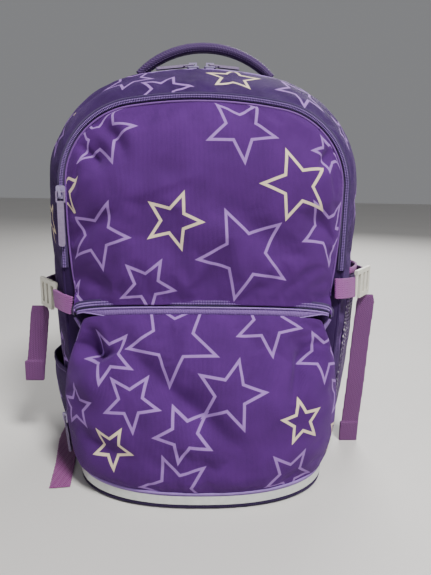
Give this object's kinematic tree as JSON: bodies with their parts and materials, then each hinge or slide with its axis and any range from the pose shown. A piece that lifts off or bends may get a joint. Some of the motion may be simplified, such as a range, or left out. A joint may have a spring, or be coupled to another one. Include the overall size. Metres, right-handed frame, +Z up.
{
  "type": "daypack",
  "caption": "Arched day rucksack with a ridge-zipped main compartment, two zipped front pockets, side pockets, hook-buckle side straps, grab handle and padded harness.",
  "frame": {"origin": "centre of the flat base panel, where the pack stands", "axes": "+Z up, -Y out of the pack's front, +X to the right as seen from the front"},
  "size_m": [0.3775, 0.3077, 0.4335],
  "materials": {
    "fabric_print": "printed twill",
    "fabric_plain": "woven",
    "padding": "padded knit",
    "base_fabric": "coated",
    "sheet_plastic": "matte",
    "zip_tape": "woven tape",
    "reflective": "reflective",
    "piping": "woven",
    "mesh": "knit mesh",
    "pink_webbing": "webbing",
    "slider_metal": "satin",
    "pull_tab": "woven",
    "purple_webbing": "webbing",
    "ivory_plastic": "satin",
    "black_plastic": "matte"
  },
  "bodies": {
    "pack": {"back_panel": "padding", "frame_sheet": "sheet_plastic", "back_pad_left": "padding", "back_pad_right": "padding", "lumbar_pad": "padding", "rear_gusset": "fabric_plain", "front_gusset": "fabric_print", "front_wall": "fabric_plain", "base_panel": "base_fabric", "document_sleeve": "fabric_plain", "upper_pocket": "fabric_print", "lower_pocket": "fabric_print", "main_zip": "zip_tape", "upper_zip": "zip_tape", "lower_zip": "zip_tape", "pocket_piping": "zip_tape", "reflective_band": "reflective", "band_piping": "piping", "side_pocket_left": "fabric_print", "side_hem_left": "fabric_plain", "mesh_pocket_right": "mesh", "mesh_binding_right": "pink_webbing", "handle_anchor_left": "purple_webbing", "handle_anchor_right": "purple_webbing", "loop_left": "pink_webbing", "loop_right": "pink_webbing", "shoulder_yoke": "fabric_plain", "lower_web_left": "purple_webbing", "lower_web_right": "purple_webbing", "strap_tail_left": "purple_webbing"},
    "main_slider_left": {"main_slider_left": "slider_metal"},
    "main_slider_right": {"main_slider_right": "slider_metal"},
    "upper_slider": {"upper_slider": "slider_metal"},
    "lower_slider": {"lower_slider": "slider_metal"},
    "main_pull_left": {"main_pull_left": "pull_tab"},
    "main_pull_right": {"main_pull_right": "pull_tab"},
    "upper_pull": {"upper_pull": "pull_tab"},
    "lower_pull": {"lower_pull": "pull_tab"},
    "grab_handle": {"grab_handle": "purple_webbing"},
    "side_buckle_left": {"hook_buckle_left": "ivory_plastic", "rear_web_left": "purple_webbing"},
    "side_tail_left": {"side_tail_left": "purple_webbing"},
    "shoulder_left": {"shoulder_strap_left": "padding", "strap_webbing_left": "purple_webbing", "adjuster_left": "black_plastic"},
    "sternum_clamp_left": {"sternum_slider_left": "black_plastic"},
    "sternum_half_left": {"sternum_web_left": "purple_webbing", "sternum_socket": "black_plastic"},
    "side_buckle_right": {"hook_buckle_right": "ivory_plastic", "rear_web_right": "purple_webbing"},
    "side_tail_right": {"side_tail_right": "purple_webbing"},
    "shoulder_right": {"shoulder_strap_right": "padding", "strap_webbing_right": "purple_webbing", "adjuster_right": "black_plastic", "strap_tail_right": "purple_webbing"},
    "sternum_clamp_right": {"sternum_slider_right": "black_plastic"},
    "sternum_half_right": {"sternum_web_right": "purple_webbing", "sternum_plug": "black_plastic"}
  },
  "joints": [
    {"name": "main_zip_left", "type": "hinge", "parent": "pack", "child": "main_slider_left", "pos_m": [0, 0.025, 0.059], "axis": [0, 1, 0], "range_deg": [-9, 0]},
    {"name": "main_zip_right", "type": "hinge", "parent": "pack", "child": "main_slider_right", "pos_m": [0, 0.025, 0.059], "axis": [0, 1, 0], "range_deg": [0, 9]},
    {"name": "main_pull_left_swing", "type": "hinge", "parent": "main_slider_left", "child": "main_pull_left", "pos_m": [-0.01323, 0.025, 0.40325], "axis": [0, 1, 0], "range_deg": [0, 100]},
    {"name": "main_pull_right_swing", "type": "hinge", "parent": "main_slider_right", "child": "main_pull_right", "pos_m": [0.00421, 0.025, 0.40347], "axis": [0, -1, 0], "range_deg": [0, 100]},
    {"name": "upper_zip_run", "type": "slide", "parent": "pack", "child": "upper_slider", "axis": [0, 0, -1], "range_m": [0, 0.045]},
    {"name": "upper_pull_swing", "type": "hinge", "parent": "upper_slider", "child": "upper_pull", "pos_m": [-0.133, -0.0555, 0.276], "axis": [-1, 0, 0], "range_deg": [0, 100]},
    {"name": "lower_zip_run", "type": "slide", "parent": "pack", "child": "lower_slider", "axis": [-0.0995, 0, 0.995], "range_m": [0, 0.058]},
    {"name": "lower_pull_swing", "type": "hinge", "parent": "lower_slider", "child": "lower_pull", "pos_m": [-0.13609, -0.06, 0.05669], "axis": [0, 1, 0], "range_deg": [0, 100]},
    {"name": "grab_handle_swing", "type": "hinge", "parent": "pack", "child": "grab_handle", "pos_m": [0, 0.06, 0.394], "axis": [1, 0, 0], "range_deg": [-35, 35]},
    {"name": "side_buckle_left_lift", "type": "slide", "parent": "pack", "child": "side_buckle_left", "axis": [0, 0, 1], "range_m": [0, 0.026]},
    {"name": "side_tail_left_swing", "type": "hinge", "parent": "side_buckle_left", "child": "side_tail_left", "pos_m": [-0.173, -0.003, 0.156], "axis": [1, 0, 0], "range_deg": [-35, 8]},
    {"name": "shoulder_left_swing", "type": "hinge", "parent": "pack", "child": "shoulder_left", "pos_m": [-0.05, 0.112, 0.345], "axis": [1, 0, 0], "range_deg": [0, 22]},
    {"name": "sternum_clamp_left_run", "type": "slide", "parent": "shoulder_left", "child": "sternum_clamp_left", "axis": [0.1627, 0.0542, 0.9852], "range_m": [-0.03, 0.03]},
    {"name": "sternum_half_left_swing", "type": "hinge", "parent": "sternum_clamp_left", "child": "sternum_half_left", "pos_m": [-0.044, 0.1718, 0.2597], "axis": [0, -1, 0], "range_deg": [-15, 13]},
    {"name": "side_buckle_right_lift", "type": "slide", "parent": "pack", "child": "side_buckle_right", "axis": [0, 0, 1], "range_m": [0, 0.026]},
    {"name": "side_tail_right_swing", "type": "hinge", "parent": "side_buckle_right", "child": "side_tail_right", "pos_m": [0.1755, -0.001, 0.171], "axis": [1, 0, 0], "range_deg": [-35, 0]},
    {"name": "shoulder_right_swing", "type": "hinge", "parent": "pack", "child": "shoulder_right", "pos_m": [0.05, 0.112, 0.345], "axis": [1, 0, 0], "range_deg": [0, 22]},
    {"name": "sternum_clamp_right_run", "type": "slide", "parent": "shoulder_right", "child": "sternum_clamp_right", "axis": [-0.1627, 0.0542, 0.9852], "range_m": [-0.03, 0.03]},
    {"name": "sternum_half_right_swing", "type": "hinge", "parent": "sternum_clamp_right", "child": "sternum_half_right", "pos_m": [0.044, 0.1718, 0.2597], "axis": [0, 1, 0], "range_deg": [-15, 13]}
  ]
}
